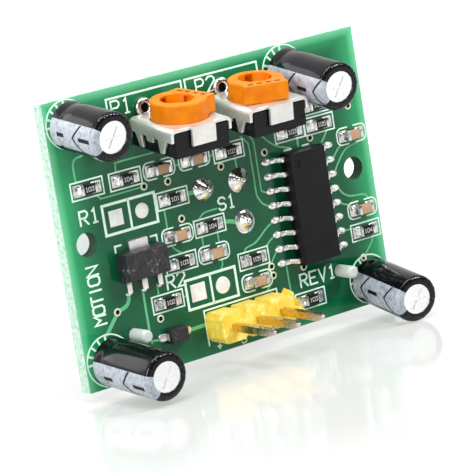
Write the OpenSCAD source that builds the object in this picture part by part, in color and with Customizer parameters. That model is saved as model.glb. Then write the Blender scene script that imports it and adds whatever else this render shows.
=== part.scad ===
// Passive-infrared motion sensor module on a green circuit board.
// +X runs along the long edge of the board, +Z up its short edge, and the
// component side faces -Y. The origin is the middle of the two mounting holes,
// on the component face. The lens dome stands on the +Y side.

/* [Board] */
// Length of the board along X
board_w = 32.2; // [32.2:0.1:34]
// Height of the board along Z
board_h = 24.3; // [24.3:0.1:26]
// Thickness of the board
board_t = 1.2; // [1.0:0.1:1.6]
// Distance between the two mounting holes
hole_span = 28; // [28:0.1:29]
// Diameter of each mounting hole
hole_d = 2; // [1.6:0.1:2.2]

/* [Lens] */
// Outer diameter of the dome
dome_d = 23; // [22.6:0.1:23.4]
// Wall of the dome
dome_wall = 0.6; // [0.5:0.05:0.7]
// Height of the straight skirt under the dome
skirt_h = 3.4; // [3:0.1:5]
// Thickness of the flange that lies on the board
flange_t = 1; // [0.8:0.1:1.5]
// How far the lens pegs stand out of the component side
peg_out = 2; // [1.5:0.1:2.5]

/* [Detector] */
// Diameter of the metal detector can
can_d = 8.2; // [8:0.1:8.4]
// Height of the detector can above its base
can_h = 3.6; // [3.4:0.1:4.2]

/* [Trimmers] */
// Width of a trimmer along the board
trimmer_w = 6.1; // [6:0.1:6.3]
// Depth of a trimmer, out from the board
trimmer_l = 6; // [5.8:0.1:6.2]
// Height of the black trimmer base
trimmer_h = 2.45; // [2.4:0.05:2.6]
// How far each trimmer leans forward, in degrees
trimmer_tilt = 9.5; // [8:0.5:10]
// Diameter of the orange rotor
rotor_d = 4.8; // [4.6:0.1:4.8]
// Height of the orange rotor above its cover plate
rotor_h = 1.6; // [1.4:0.1:2]

/* [Capacitors] */
// Outer diameter of each electrolytic capacitor
cap_d = 4.1; // [3.8:0.1:4.1]

/* [Pin header] */
// Distance between neighbouring pins
pin_pitch = 2.54; // [2.54:0.01:2.54]
// Distance from the board to the tips of the pins
pin_reach = 8.2; // [7:0.1:9]

/* [Hidden] */

$fn = 48;
tiny = 0.01;

// Lens pegs, at the four corners of the flange
peg_x = 10.9;
peg_z = 8.45;
peg_d = 1.1;
peg_hole_d = 1.2;
flange_w = 23.8;
flange_h = 18.7;

// Detector: three leads on a 5.08 mm circle, a quarter turn apart
lead_d = 0.45;
lead_hole_d = 0.8;
detector_r = 5.08 / 2;
detector_angles = [45, 135, 315];
detector_gap = 0.8;
detector_base_t = 0.45;
detector_base_d = 9.1;
can_wall = 0.2;
window_w = 4;
window_h = 3;
window_t = 0.35;

// Trimmers: left edge of each one, the place of its top back edge, and where
// the flat side of its rotor points, in degrees from the trimmer's local X
trimmer_x = [-8.28, -0.33];
trimmer_back = 0.45;
trimmer_top_z = 9.4;
rotor_turn = [17, 255];
cover_t = 0.3;
flap_h = 1.1;
rotor_gap = 0.08;
rotor_flat = 2.35;
rotor_flat_w = 3.86;
rotor_bore_d = 2.9;
rotor_bore_shift = 0.22;
mark_pitch = 0.8;
mark_depth = 0.25;
pivot_d = 1.1;
running_gap = 0.05;
chamber_depth = 1.1;

// Electrolytic capacitors: [x, z, lean to +X, lean to -Z, height]
caps = [
    [-13.9, 10.05, 1, 7.9, 6.5],
    [8.25, 9.9, -1.7, 9.0, 8.0],
    [-13.75, -9.9, 1.8, 4.8, 8.0],
    [13.9, -9.9, -5.9, 8.4, 7.5]
];
cap_foot = 0.45;
cap_lead_gap = 1.5;
sleeve_t = 0.12;
lip_t = 0.08;
lip_r = 1.32;
can_t = 0.12;
crimp_z = 1.1;
bung_h = 1.3;

// Small surface-mounted chips: centres of each kind
resistors = [
    [-13.08, 4.47], [-9.28, 4.43], [1.3, 4.38], [7.85, 4.6], [11.08, 4.58],
    [-5.03, 1.78], [-1.78, -1.35], [-5.2, -3.68], [2.12, -5.18],
    [-7.15, -6.6], [14.3, -5.63], [7.35, -10.08], [10.95, 6.3]
];
ceramics = [
    [-5.87, 4.5], [-2.28, 4.5], [-5.12, -1.35], [-1.8, -3.7],
    [2.1, -7.12], [14.33, 2.93], [14.3, -3.68]
];
chip_l = 1.6;
chip_w = 0.82;
chip_end = 0.28;
resistor_h = 0.45;
ceramic_h = 0.7;
chip_lift = 0.03;

// Controller: sixteen leads, 1.27 mm apart, in two columns
ic_pos = [8.3, -1.88];
ic_w = 3.9;
ic_l = 9.9;
ic_h = 1.55;
ic_pitch = 1.27;
ic_rows = 8;
ic_lead_w = 0.42;

// Regulator and diode
reg_pos = [-9.3, -2.62];
reg_w = 4.35;
reg_l = 2.5;
reg_h = 1.5;
reg_pitch = 1.55;
reg_metal_t = 0.4;
reg_tab_w = 1.9;
diode_pos = [-7, -9.42];
diode_l = 1.8;
diode_w = 1.25;
diode_h = 0.9;

// Header
header_z = -9.75;
pin_w = 0.64;
housing_h = 2.5;
pin_tail = 0.9;

// Plated through holes that join tracks on the two faces: centres
via_d = 0.4;
vias = [
    [-7.6, 3.4], [-5.2, 3.27], [0.3, 3.27], [4.95, 3.45], [9.9, 3.6],
    [-4.45, -0.1], [-12.2, -6.2], [-8.15, -7.8], [3.8, -6.3], [3.85, -7.1],
    [7.15, -7.15], [13.65, -7.95], [14.45, 5.45]
];

// Pads for an optional light sensor and thermistor: [x, z, size]
square_pads = [[-10.8, 1.5, 1.35], [-4.0, -6.55, 1.5]];
round_pads = [[-8.2, 1.5, 1.3], [-1.45, -6.6, 1.45]];
pad_t = 0.08;

// Children are drawn lying on the component side: local X is row X, local Y is
// row Z, and local Z is the height above the board.
module on_board(x, z) {
    translate([x, 0, z]) rotate([90, 0, 0]) children();
}

// The same on the lens side, with local Z as the height above the back face.
module on_back(x, z) {
    translate([x, board_t, z]) rotate([-90, 0, 0]) children();
}

// A block centred on X and Y that stands on local Z = 0
module block(w, l, h) {
    translate([-w / 2, -l / 2, 0]) cube([w, l, h]);
}

// A block whose four sides lean in by the draft towards its top
module drafted_block(w, l, h, draft) {
    hull() {
        block(w, l, h / 2);
        block(w - 2 * draft, l - 2 * draft, h);
    }
}

// ---- Board ----

module circuit_board() {
    color("seagreen") difference() {
        on_back(0, 0) translate([0, 0, -board_t]) block(board_w, board_h, board_t);
        for (x = [-hole_span / 2, hole_span / 2])
            board_hole(x, 0, hole_d);
        for (x = [-peg_x, peg_x], z = [-peg_z, peg_z])
            board_hole(x, z, peg_hole_d);
        for (a = detector_angles)
            board_hole(detector_r * cos(a), detector_r * sin(a), lead_hole_d);
        for (i = [-1:1])
            board_hole(i * pin_pitch, header_z, 1);
        for (c = caps, s = [-0.5, 0.5])
            board_hole(c[0] + s * cap_lead_gap, c[1], lead_hole_d);
        for (x = trimmer_x, p = trimmer_pins())
            board_hole(x + p[0], p[1], lead_hole_d);
        for (v = vias)
            board_hole(v[0], v[1], via_d);
    }
}

module board_hole(x, z, d) {
    on_board(x, z) translate([0, 0, -board_t - 1]) cylinder(d = d, h = board_t + 2);
}

module option_pads() {
    color("gainsboro") {
        for (p = square_pads) on_board(p[0], p[1]) block(p[2], p[2], pad_t);
        for (p = round_pads) on_board(p[0], p[1]) cylinder(d = p[2], h = pad_t);
    }
}

// ---- Lens ----

module lens() {
    outer = dome_d / 2;
    inner = outer - dome_wall;
    color("whitesmoke") {
        on_back(0, 0) {
            rotate_extrude($fn = 96) {
                difference() {
                    union() {
                        square([outer, skirt_h]);
                        translate([0, skirt_h]) intersection() {
                            circle(r = outer);
                            square(outer);
                        }
                    }
                    translate([-1, -1]) square([inner + 1, skirt_h + 1]);
                    translate([0, skirt_h]) circle(r = inner);
                }
            }
            difference() {
                lens_flange();
                translate([0, 0, -1]) cylinder(r = outer - tiny, h = flange_t + 2, $fn = 96);
            }
        }
        for (x = [-peg_x, peg_x], z = [-peg_z, peg_z]) lens_peg(x, z);
    }
}

module lens_flange() {
    corner = 1.2;
    block(flange_w - 2 * corner, flange_h, flange_t);
    block(flange_w, flange_h - 2 * corner, flange_t);
    for (x = [-1, 1], y = [-1, 1])
        translate([x * (flange_w / 2 - corner), y * (flange_h / 2 - corner), 0])
            cylinder(r = corner, h = flange_t);
}

module lens_peg(x, z) {
    edge = 0.25;
    r = peg_d / 2;
    long = board_t + peg_out;
    on_board(x, z) translate([0, 0, -board_t]) rotate_extrude($fn = 48) {
        square([r, long - edge]);
        square([r - edge, long]);
        translate([r - edge, long - edge]) circle(r = edge, $fn = 24);
    }
}

// ---- Detector ----

module detector_base() {
    color("silver") on_back(0, 0) translate([0, 0, detector_gap]) difference() {
        union() {
            cylinder(d = detector_base_d, h = detector_base_t);
            cylinder(d = can_d - 2 * can_wall - 0.1, h = detector_base_t + 0.25);
            rotate([0, 0, 45]) translate([detector_base_d / 2 + 0.15, 0, 0])
                block(0.9, 0.8, detector_base_t);
        }
        for (a = detector_angles) rotate([0, 0, -a]) translate([detector_r, 0, -1])
            cylinder(d = lead_d + 0.3, h = 3);
    }
}

module detector_can() {
    top = can_h;
    color("silver") on_back(0, 0) translate([0, 0, detector_gap + detector_base_t]) difference() {
        rotate_extrude($fn = 72) can_profile(can_d / 2, top);
        cylinder(d = can_d - 2 * can_wall, h = top - can_wall);
        translate([0, 0, top - 2 * can_wall]) block(window_w, window_h, 1);
    }
}

// Half section of a can with a rounded shoulder and a foot rim
module can_profile(r, h) {
    shoulder = 0.5;
    square([r - shoulder, h]);
    square([r, h - shoulder]);
    translate([r - shoulder, h - shoulder]) circle(r = shoulder, $fn = 32);
    square([r + 0.3, 0.25]);
}

module detector_window() {
    color("dimgray") on_back(0, 0)
        translate([0, 0, detector_gap + detector_base_t + can_h - can_wall - window_t])
            block(window_w + 0.8, window_h + 0.8, window_t);
}

module detector_leads() {
    start = detector_gap + detector_base_t + 0.6;
    color("gold") for (a = detector_angles)
        on_board(detector_r * cos(a), detector_r * sin(a)) translate([0, 0, -board_t - start])
            cylinder(d = lead_d, h = start + board_t + 0.85);
}

module detector_carrier() {
    color("white") on_back(0, 0) translate([0, 0, detector_gap + detector_base_t + 1.4]) difference() {
        block(4.6, 3.8, 0.4);
        translate([0, 0, -1]) block(2.6, 1.8, 3);
    }
    color("white") on_back(0, 0) translate([0, 0, detector_gap + detector_base_t + 0.25])
        for (x = [-2.1, 2.1], y = [-0.8, 0.8]) translate([x, y, 0]) block(0.4, 0.4, 1.15);
}

module detector_elements() {
    color("darkslategray") on_back(0, 0)
        translate([0, 0, detector_gap + detector_base_t + 1.8]) difference() {
            block(3.4, 2.2, 0.12);
            translate([0, 0, -1]) block(0.5, 1.6, 3);
        }
}

module detector_transistor() {
    color("black") on_back(0, 0) translate([0, 0, detector_gap + detector_base_t + 0.25])
        block(1.2, 0.9, 0.5);
}

module detector_solder() {
    foot_r = 0.92;
    hollow_r = 0.62;
    slope = [for (i = [1:6]) [foot_r - hollow_r * sin(15 * i), hollow_r * (1 - cos(15 * i)) + 0.02 * i]];
    color("silver") for (a = detector_angles)
        on_board(detector_r * cos(a), detector_r * sin(a)) rotate_extrude($fn = 32)
            polygon(concat([[lead_d / 2, 0], [foot_r, 0]], slope, [[lead_d / 2, 0.76]]));
}

// ---- Trimmers ----

// Children are drawn in the trimmer's own frame: local X from its left edge,
// local Y back towards the board from its front, and local Z up from its top.
module in_trimmer(i) {
    translate([trimmer_x[i], -trimmer_back, trimmer_top_z])
        rotate([trimmer_tilt, 0, 0]) translate([0, -trimmer_l, 0]) children();
}

// Rotor axis in the trimmer's frame
rotor_x = trimmer_w / 2;
rotor_y = trimmer_l / 2;

// Pins of a trimmer where they meet the board: [x from its left edge, z]
function trimmer_pins() = [[0.7, 7.9], [trimmer_w - 0.7, 7.9], [1.85, 9.85]];

module trimmer_base(i) {
    wall = cover_t + 0.08;
    top = trimmer_h - cover_t - 0.06;
    pillar_w = 1.4;
    color("#1c1c1f") in_trimmer(i) difference() {
        union() {
            translate([wall, 0.3, -trimmer_h]) cube([trimmer_w - 2 * wall, trimmer_l - 0.3, top]);
            for (x = [wall, trimmer_w - wall - pillar_w])
                translate([x, -0.02, -trimmer_h]) cube([pillar_w, 0.5, top]);
            translate([wall, -0.1, -trimmer_h]) cube([trimmer_w - 2 * wall, 0.5, 0.78]);
        }
        translate([rotor_x, rotor_y, -cover_t - chamber_depth])
            cylinder(d = rotor_d + 2 * running_gap, h = 3);
        translate([rotor_x, rotor_y, -trimmer_h - 1]) cylinder(d = pivot_d + 2 * running_gap, h = 4);
    }
}

// Cross section of the cover: a plate with a rounded flap down each side
module cover_section(inset) {
    bend = 0.5;
    r = bend - inset;
    for (x = [bend, trimmer_w - bend]) translate([x, -bend]) circle(r = r, $fn = 40);
    translate([bend, -flap_h - (inset > 0 ? 1 : 0)])
        square([trimmer_w - 2 * bend, flap_h + (inset > 0 ? 1 : 0) - inset]);
    translate([inset, -flap_h - (inset > 0 ? 1 : 0)])
        square([trimmer_w - 2 * inset, flap_h + (inset > 0 ? 1 : 0) - bend]);
}

// A tooth of a side flap in local Y and Z: its root runs from a to b, and its
// tip from c to d at the given depth
module tooth(a, b, c, d, depth) {
    rotate([90, 0, 90]) linear_extrude(cover_t)
        polygon([[a, -flap_h + 0.05], [c, -depth], [d, -depth], [b, -flap_h + 0.05]]);
}

module trimmer_cover(i) {
    tab_w = 2.36;
    tab_h = 1.62;
    color("whitesmoke") in_trimmer(i) {
        difference() {
            translate([0, trimmer_l, 0]) rotate([90, 0, 0]) linear_extrude(trimmer_l) difference() {
                cover_section(0);
                cover_section(cover_t);
            }
            translate([rotor_x, rotor_y, -1]) cylinder(d = rotor_d + 2 * running_gap, h = 2);
        }
        translate([(trimmer_w - tab_w) / 2, -cover_t - 0.1, -tab_h]) cube([tab_w, cover_t, tab_h]);
        translate([(trimmer_w - tab_w) / 2, -0.1, -cover_t]) cube([tab_w, 0.1, cover_t]);
        for (x = [0, trimmer_w - cover_t]) translate([x, 0, 0]) {
            tooth(0.8, 2.05, 1.3, 1.72, 2.2);
            tooth(2.6, 3.7, 2.7, 3.5, 1.52);
            tooth(4.35, 5.2, 4.1, 4.55, 2.2);
        }
    }
}

// A drum with one square side. The drum turns in a round opening of the cover,
// and the square side passes over the cover.
module trimmer_rotor(i) {
    bore_floor = 0.72;
    low = -cover_t - chamber_depth + 0.45;
    color("darkorange") in_trimmer(i) translate([rotor_x, rotor_y, 0]) rotate([0, 0, rotor_turn[i]])
        difference() {
            union() {
                translate([0, 0, low]) rotate_extrude($fn = 72) rotor_profile(rotor_h - low);
                translate([0, 0, -trimmer_h + 0.1]) cylinder(d = pivot_d, h = trimmer_h);
                translate([0, -rotor_flat_w / 2, rotor_gap])
                    cube([rotor_flat, rotor_flat_w, rotor_h - rotor_gap]);
            }
            translate([-rotor_bore_shift, 0, rotor_h - bore_floor]) {
                cylinder(d = rotor_bore_d, h = 2);
                for (a = [0, 90]) rotate([0, 0, a]) translate([0, 0, -0.5])
                    block(3.4, 0.7, bore_floor + 0.3);
            }
            for (k = [-1.5:1.5])
                translate([rotor_flat - 0.58, k * mark_pitch, rotor_h - mark_depth]) block(0.42, 0.54, 1);
        }
}

// Half section of the drum, rounded on its top edge
module rotor_profile(h) {
    edge = 0.18;
    r = rotor_d / 2;
    square([r, h - edge]);
    square([r - edge, h]);
    translate([r - edge, h - edge]) circle(r = edge, $fn = 32);
}

module trimmer_wiper(i) {
    level = -cover_t - chamber_depth + 0.3;
    color("gold") in_trimmer(i) translate([rotor_x, rotor_y, level]) rotate([0, 0, rotor_turn[i]]) {
        difference() {
            cylinder(r = 1.35, h = 0.15);
            translate([0, 0, -1]) cylinder(d = pivot_d, h = 3);
        }
        rotate([0, 0, 90]) translate([1.25, -0.3, 0]) cube([0.9, 0.6, 0.12]);
        rotate([0, 0, 90]) translate([1.85, -0.3, -0.07]) cube([0.3, 0.6, 0.1]);
    }
}

module trimmer_track(i) {
    color("dimgray") in_trimmer(i) translate([rotor_x, rotor_y, -cover_t - chamber_depth]) {
        difference() {
            cylinder(r = 2.4, h = 0.2);
            translate([0, 0, -1]) cylinder(r = 0.8, h = 3);
            translate([-0.5, -4, -1]) cube([1, 4, 3]);
        }
    }
}

// The third terminal ends in an open eyelet of solder beside the rotor
module trimmer_terminals(i) {
    pins = trimmer_pins();
    color("silver") for (k = [0:2])
        on_board(trimmer_x[i] + pins[k][0], pins[k][1]) {
            reach = k == 2 ? board_t - 0.25 : board_t - 0.05;
            translate([0, 0, -board_t + 0.05]) cylinder(d = 0.6, h = reach - 0.05);
            if (k == 2) rotate_extrude($fn = 40) translate([0.62, 0.24]) circle(r = 0.24, $fn = 20);
        }
}

// ---- Electrolytic capacitors ----

// Children are drawn along the axis of capacitor i, which stands on the board
// with a small lean.
module in_cap(i) {
    c = caps[i];
    on_board(c[0], c[1]) rotate([c[3], c[2], 0]) children();
}

module cap_can(i) {
    r = cap_d / 2 - sleeve_t;
    h = caps[i][4] - lip_t;
    color("gainsboro") in_cap(i) difference() {
        rotate_extrude($fn = 64) difference() {
            union() {
                translate([0, cap_foot]) square([r, h - cap_foot - 0.4]);
                translate([0, h - 0.5]) square([r - 0.4, 0.5]);
                translate([r - 0.4, h - 0.4]) circle(r = 0.4, $fn = 32);
            }
            translate([r + 0.1, crimp_z + cap_foot]) circle(r = 0.25, $fn = 24);
            translate([-1, -1]) square([r - can_t - 0.2 + 1, h - can_t - 0.2 + 1]);
            translate([-1, crimp_z + cap_foot + 0.45])
                square([r - can_t + 1, h - can_t - crimp_z - cap_foot - 0.95]);
        }
        for (a = [0, 60, 120]) rotate([0, 0, a]) translate([-0.95, -0.05, h - 0.05])
            cube([1.9, 0.1, 1]);
    }
}

module cap_sleeve(i) {
    r = cap_d / 2;
    h = caps[i][4];
    color("#17171a") in_cap(i) rotate_extrude($fn = 64) difference() {
        union() {
            translate([r - sleeve_t, cap_foot - 0.02]) square([sleeve_t, h - cap_foot - 0.38]);
            translate([r - 0.4, h - 0.4]) intersection() {
                circle(r = 0.4, $fn = 40);
                square(1);
            }
            translate([lip_r, h - lip_t]) square([r - 0.4 - lip_r, lip_t]);
        }
        translate([r - sleeve_t - 0.4, h - lip_t - 0.4]) circle(r = 0.4 + tiny, $fn = 32);
        square([r - sleeve_t - 0.4, h - lip_t + tiny]);
        square([r - sleeve_t, h - lip_t - 0.4]);
    }
}

module cap_bung(i) {
    r = cap_d / 2 - sleeve_t - can_t - 0.22;
    color("#2a2624") in_cap(i) difference() {
        translate([0, 0, cap_foot - 0.1]) cylinder(r = r, h = bung_h);
        for (s = [-0.5, 0.5]) translate([s * cap_lead_gap, 0, -1]) cylinder(d = lead_d + 0.1, h = 5);
    }
}

module cap_winding(i) {
    r = cap_d / 2 - sleeve_t - can_t - 0.25;
    start = cap_foot + bung_h + 0.15;
    color("tan") in_cap(i) translate([0, 0, start])
        cylinder(r = r, h = caps[i][4] - start - 0.5);
}

module cap_leads(i) {
    c = caps[i];
    color("silver") {
        in_cap(i) for (s = [-0.5, 0.5]) translate([s * cap_lead_gap, 0, 0.1])
            cylinder(d = lead_d, h = cap_foot + bung_h - 0.1, $fn = 24);
        for (s = [-0.5, 0.5]) on_board(c[0] + s * cap_lead_gap, c[1])
            translate([0, 0, -board_t - 0.9]) cylinder(d = lead_d, h = board_t + 1.1, $fn = 24);
    }
}

// ---- Controller, regulator and diode ----

module controller_body() {
    color("#232326") on_board(ic_pos[0], ic_pos[1]) difference() {
        translate([0, 0, 0.12]) hull() {
            block(ic_w - 0.16, ic_l - 0.16, 0.1);
            translate([0, 0, 0.72]) block(ic_w, ic_l, 0.1);
            block(ic_w - 0.2, ic_l - 0.2, ic_h - 0.12);
        }
        translate([-1.35, ic_l / 2 - 1.05, ic_h - 0.12]) cylinder(d = 0.8, h = 1);
    }
}

module controller_leads() {
    foot = 3.1;
    profile = [
        [ic_w / 2, 1.0], [2.35, 1.0], [2.62, 0.22], [foot, 0.22],
        [foot, 0.02], [2.46, 0.02], [2.2, 0.8], [ic_w / 2, 0.8]
    ];
    color("silver") on_board(ic_pos[0], ic_pos[1])
        for (side = [0, 180], k = [0:ic_rows - 1])
            translate([0, (k - (ic_rows - 1) / 2) * ic_pitch, 0])
                rotate([90, 0, side])
                    translate([0, 0, -ic_lead_w / 2]) linear_extrude(ic_lead_w) polygon(profile);
}

module regulator_body() {
    color("#2b282c") on_board(reg_pos[0], reg_pos[1]) difference() {
        translate([0, 0, 0.02]) hull() {
            block(reg_w, reg_l, 0.7);
            block(reg_w - 0.24, reg_l - 0.24, reg_h);
        }
        translate([0, reg_l / 2, -1]) block(reg_tab_w + 0.03, 0.5, 1 + reg_metal_t + 0.03);
    }
}

module regulator_leads() {
    reach = 1.05;
    color("silver") on_board(reg_pos[0], reg_pos[1]) {
        translate([0, reg_l / 2 + 0.25, 0.02]) block(reg_tab_w, 1, reg_metal_t);
        for (k = [-1:1]) translate([k * reg_pitch, -reg_l / 2 - reach / 2, 0.02])
            block(k == 0 ? 0.55 : 0.48, reach, reg_metal_t);
    }
}

module diode_body() {
    color("#2e2a2b") on_board(diode_pos[0], diode_pos[1]) translate([0, 0, 0.05])
        drafted_block(diode_l, diode_w, diode_h, 0.1);
}

module diode_terminals() {
    color("silver") on_board(diode_pos[0], diode_pos[1])
        for (s = [-1, 1]) {
            translate([s * (diode_l / 2 + 0.29), 0, 0.02]) block(0.58, 0.62, 0.16);
            translate([s * (diode_l / 2 + 0.06), 0, 0.18]) block(0.12, 0.62, 0.35);
        }
}

// ---- Chips ----

module chip_body(h) {
    translate([0, 0, chip_lift]) block(chip_l - 2 * chip_end, chip_w - 0.04, h - 0.04);
}

module chip_ends(h) {
    for (s = [-1, 1])
        translate([s * (chip_l - chip_end) / 2, 0, chip_lift - 0.01]) block(chip_end, chip_w, h);
}

module resistor_bodies() {
    color("#26262a") for (p = resistors) on_board(p[0], p[1]) chip_body(resistor_h);
}

module resistor_terminals() {
    color("lightgray") for (p = resistors) on_board(p[0], p[1]) chip_ends(resistor_h);
}

module ceramic_capacitor_bodies() {
    color("#b99468") for (p = ceramics) on_board(p[0], p[1]) chip_body(ceramic_h);
}

module ceramic_capacitor_terminals() {
    color("lightgray") for (p = ceramics) on_board(p[0], p[1]) chip_ends(ceramic_h);
}

// ---- Header ----

module header_housing() {
    half = pin_pitch / 2;
    cut = 0.36;
    waist = half - 0.12;
    outline = [
        [-half, -waist + cut], [-half + cut, -half], [half - cut, -half], [half, -waist + cut],
        [half, waist - cut], [half - cut, half], [-half + cut, half], [-half, waist - cut]
    ];
    color("gold") difference() {
        union() {
            for (i = [-1:1]) on_board(i * pin_pitch, header_z) linear_extrude(housing_h) polygon(outline);
            on_board(1.5 * pin_pitch - tiny, header_z) linear_extrude(1.6) snapped_edge();
        }
        for (i = [-1:1])
            on_board(i * pin_pitch, header_z) translate([0, 0, -1]) block(pin_w, pin_w, 5);
    }
}

// Uneven plastic left where the housing was snapped off a longer strip
module snapped_edge() {
    polygon([
        [0, -0.85], [0.45, -0.95], [0.7, -0.6], [1.15, -0.75], [1.45, -0.3], [1.2, -0.05], [1.35, 0.3],
        [0.9, 0.45], [0.75, 0.85], [0.45, 0.7], [0.2, 1.1], [0, 0.95]
    ]);
}

// A square pin with pyramid tips, from two crossed outlines
module header_pins() {
    tip = 0.55;
    low = -board_t - pin_tail;
    w = pin_w / 2;
    n = 0.12;
    outline = [
        [-n, low], [n, low], [w, low + tip], [w, pin_reach - tip],
        [n, pin_reach], [-n, pin_reach], [-w, pin_reach - tip], [-w, low + tip]
    ];
    color("goldenrod") for (i = [-1:1]) on_board(i * pin_pitch, header_z) intersection() {
        rotate([90, 0, 0]) translate([0, 0, -w]) linear_extrude(pin_w) polygon(outline);
        rotate([90, 0, 90]) translate([0, 0, -w]) linear_extrude(pin_w) polygon(outline);
    }
}

circuit_board();
option_pads();
lens();
detector_base();
detector_can();
detector_window();
detector_leads();
detector_carrier();
detector_elements();
detector_transistor();
detector_solder();
for (i = [0:1]) {
    trimmer_base(i);
    trimmer_cover(i);
    trimmer_rotor(i);
    trimmer_wiper(i);
    trimmer_track(i);
    trimmer_terminals(i);
}
for (i = [0:3]) {
    cap_can(i);
    cap_sleeve(i);
    cap_bung(i);
    cap_winding(i);
    cap_leads(i);
}
controller_body();
controller_leads();
regulator_body();
regulator_leads();
diode_body();
diode_terminals();
resistor_bodies();
resistor_terminals();
ceramic_capacitor_bodies();
ceramic_capacitor_terminals();
header_housing();
header_pins();
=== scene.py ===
"""Looks of a passive-infrared motion sensor module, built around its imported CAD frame.

Lengths in this file are millimetres until they go into a mesh, in the frame of the part:
+X along the board's long edge, +Z up its short edge, components on the -Y side, lens dome on +Y.
"""
import math
import random

import bmesh
import bpy
from mathutils import Matrix, Vector


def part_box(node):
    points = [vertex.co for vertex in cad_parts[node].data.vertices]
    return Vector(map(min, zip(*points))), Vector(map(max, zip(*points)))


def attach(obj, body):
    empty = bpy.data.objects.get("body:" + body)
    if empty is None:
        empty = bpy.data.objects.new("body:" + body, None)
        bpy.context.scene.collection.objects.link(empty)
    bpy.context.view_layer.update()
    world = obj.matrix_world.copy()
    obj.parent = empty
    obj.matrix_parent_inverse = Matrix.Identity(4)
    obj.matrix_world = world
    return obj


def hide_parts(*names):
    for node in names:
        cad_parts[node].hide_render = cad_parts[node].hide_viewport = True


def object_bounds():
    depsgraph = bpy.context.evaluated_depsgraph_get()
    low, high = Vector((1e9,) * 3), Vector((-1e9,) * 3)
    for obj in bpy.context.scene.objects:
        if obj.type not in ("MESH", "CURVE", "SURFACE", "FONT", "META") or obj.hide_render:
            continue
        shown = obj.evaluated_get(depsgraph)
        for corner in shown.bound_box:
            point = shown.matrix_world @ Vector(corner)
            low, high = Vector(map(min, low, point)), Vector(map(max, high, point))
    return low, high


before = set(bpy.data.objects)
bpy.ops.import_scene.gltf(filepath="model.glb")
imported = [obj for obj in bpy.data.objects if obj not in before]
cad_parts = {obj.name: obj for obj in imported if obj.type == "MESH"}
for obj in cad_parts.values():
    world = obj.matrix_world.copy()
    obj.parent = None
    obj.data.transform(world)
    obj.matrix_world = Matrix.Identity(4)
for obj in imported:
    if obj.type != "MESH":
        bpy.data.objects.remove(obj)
cad_low, cad_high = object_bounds()

MM = 0.001
BOARD = "board"
random.seed(7)


# -------------------- places

def box_mm(node):
    low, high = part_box(node)
    return low / MM, high / MM


board_low, board_high = box_mm("circuit_board")
BOARD_X, BOARD_Z, BOARD_T = board_high.x, board_high.z, board_high.y - board_low.y
lens_low, lens_high = box_mm("lens")
DOME_R = (lens_high.z - lens_low.z) / 2


def on_board(x, z, height=0.0):
    """Local X is row X, local Y is row Z and local Z is the height above the component face."""
    return Matrix.Translation((x, -height, z)) @ Matrix.Rotation(math.radians(90), 4, "X")


def on_back(x, z, height=0.0):
    return Matrix.Translation((x, BOARD_T + height, z)) @ Matrix.Rotation(math.radians(-90), 4, "X")


# Electrolytic capacitors: x, z, lean to +X and to -Z in degrees, height
CAPS = [
    (-13.9, 10.05, 1.0, 7.9, 6.5),
    (8.25, 9.9, -1.7, 9.0, 8.0),
    (-13.75, -9.9, 1.8, 4.8, 8.0),
    (13.9, -9.9, -5.9, 8.4, 7.5),
]
CAP_R = 2.05
CAP_FOOT = 0.45
LIP_R = 1.32


def in_cap(i):
    x, z, lean_x, lean_z, _ = CAPS[i]
    return (on_board(x, z) @ Matrix.Rotation(math.radians(lean_z), 4, "X")
            @ Matrix.Rotation(math.radians(lean_x), 4, "Y"))


TRIMMER_X = (-8.28, -0.33)
TRIMMER_W, TRIMMER_L, TRIMMER_TILT = 6.1, 6.0, 9.5
TRIMMER_BACK, TRIMMER_TOP = 0.45, 9.4
TRIMMER_PINS = [(0.7, 7.9), (5.4, 7.9), (1.85, 9.85)]
CAP_GAP = 1.5
HEADER_Z = -9.75
HOLE_X, HOLE_R = 14.0, 1.0


def in_trimmer(i):
    """Local X from the trimmer's left edge, local Y back from its front, local Z up from its top."""
    return (Matrix.Translation((TRIMMER_X[i], -TRIMMER_BACK, TRIMMER_TOP))
            @ Matrix.Rotation(math.radians(TRIMMER_TILT), 4, "X")
            @ Matrix.Translation((0, -TRIMMER_L, 0)))


RESISTORS = [
    (-13.08, 4.47, "103"), (-9.28, 4.43, "104"), (1.3, 4.38, "102"), (7.85, 4.6, "103"),
    (11.08, 4.58, "105"), (-5.03, 1.78, "101"), (-1.78, -1.35, "104"), (-5.2, -3.68, "103"),
    (2.12, -5.18, "105"), (-7.15, -6.6, "102"), (14.3, -5.63, "104"), (7.35, -10.08, "103"),
    (10.95, 6.3, "102"),
]
CERAMICS = [
    (-5.87, 4.5), (-2.28, 4.5), (-5.12, -1.35), (-1.8, -3.7), (2.1, -7.12), (14.33, 2.93), (14.3, -3.68),
]
VIAS = [
    (-7.6, 3.4), (-5.2, 3.27), (0.3, 3.27), (4.95, 3.45), (9.9, 3.6), (-4.45, -0.1), (-12.2, -6.2),
    (-8.15, -7.8), (3.8, -6.3), (3.85, -7.1), (7.15, -7.15), (13.65, -7.95), (14.45, 5.45),
]
IC_X, IC_Z = 8.3, -1.88
REGULATOR_X, DIODE_ENDS = -9.3, (-8.4, -5.6)


# -------------------- mesh building

def polar(r, degrees):
    a = math.radians(degrees)
    return r * math.cos(a), r * math.sin(a)


def ring_faces(rings, segments):
    """Faces of a tube made of rings of vertices, with a closing face at each end."""
    faces = [[i * segments + k, i * segments + (k + 1) % segments,
              (i + 1) * segments + (k + 1) % segments, (i + 1) * segments + k]
             for i in range(rings - 1) for k in range(segments)]
    ends = [list(range(segments))[::-1], [(rings - 1) * segments + k for k in range(segments)]]
    return faces + ends


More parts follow.
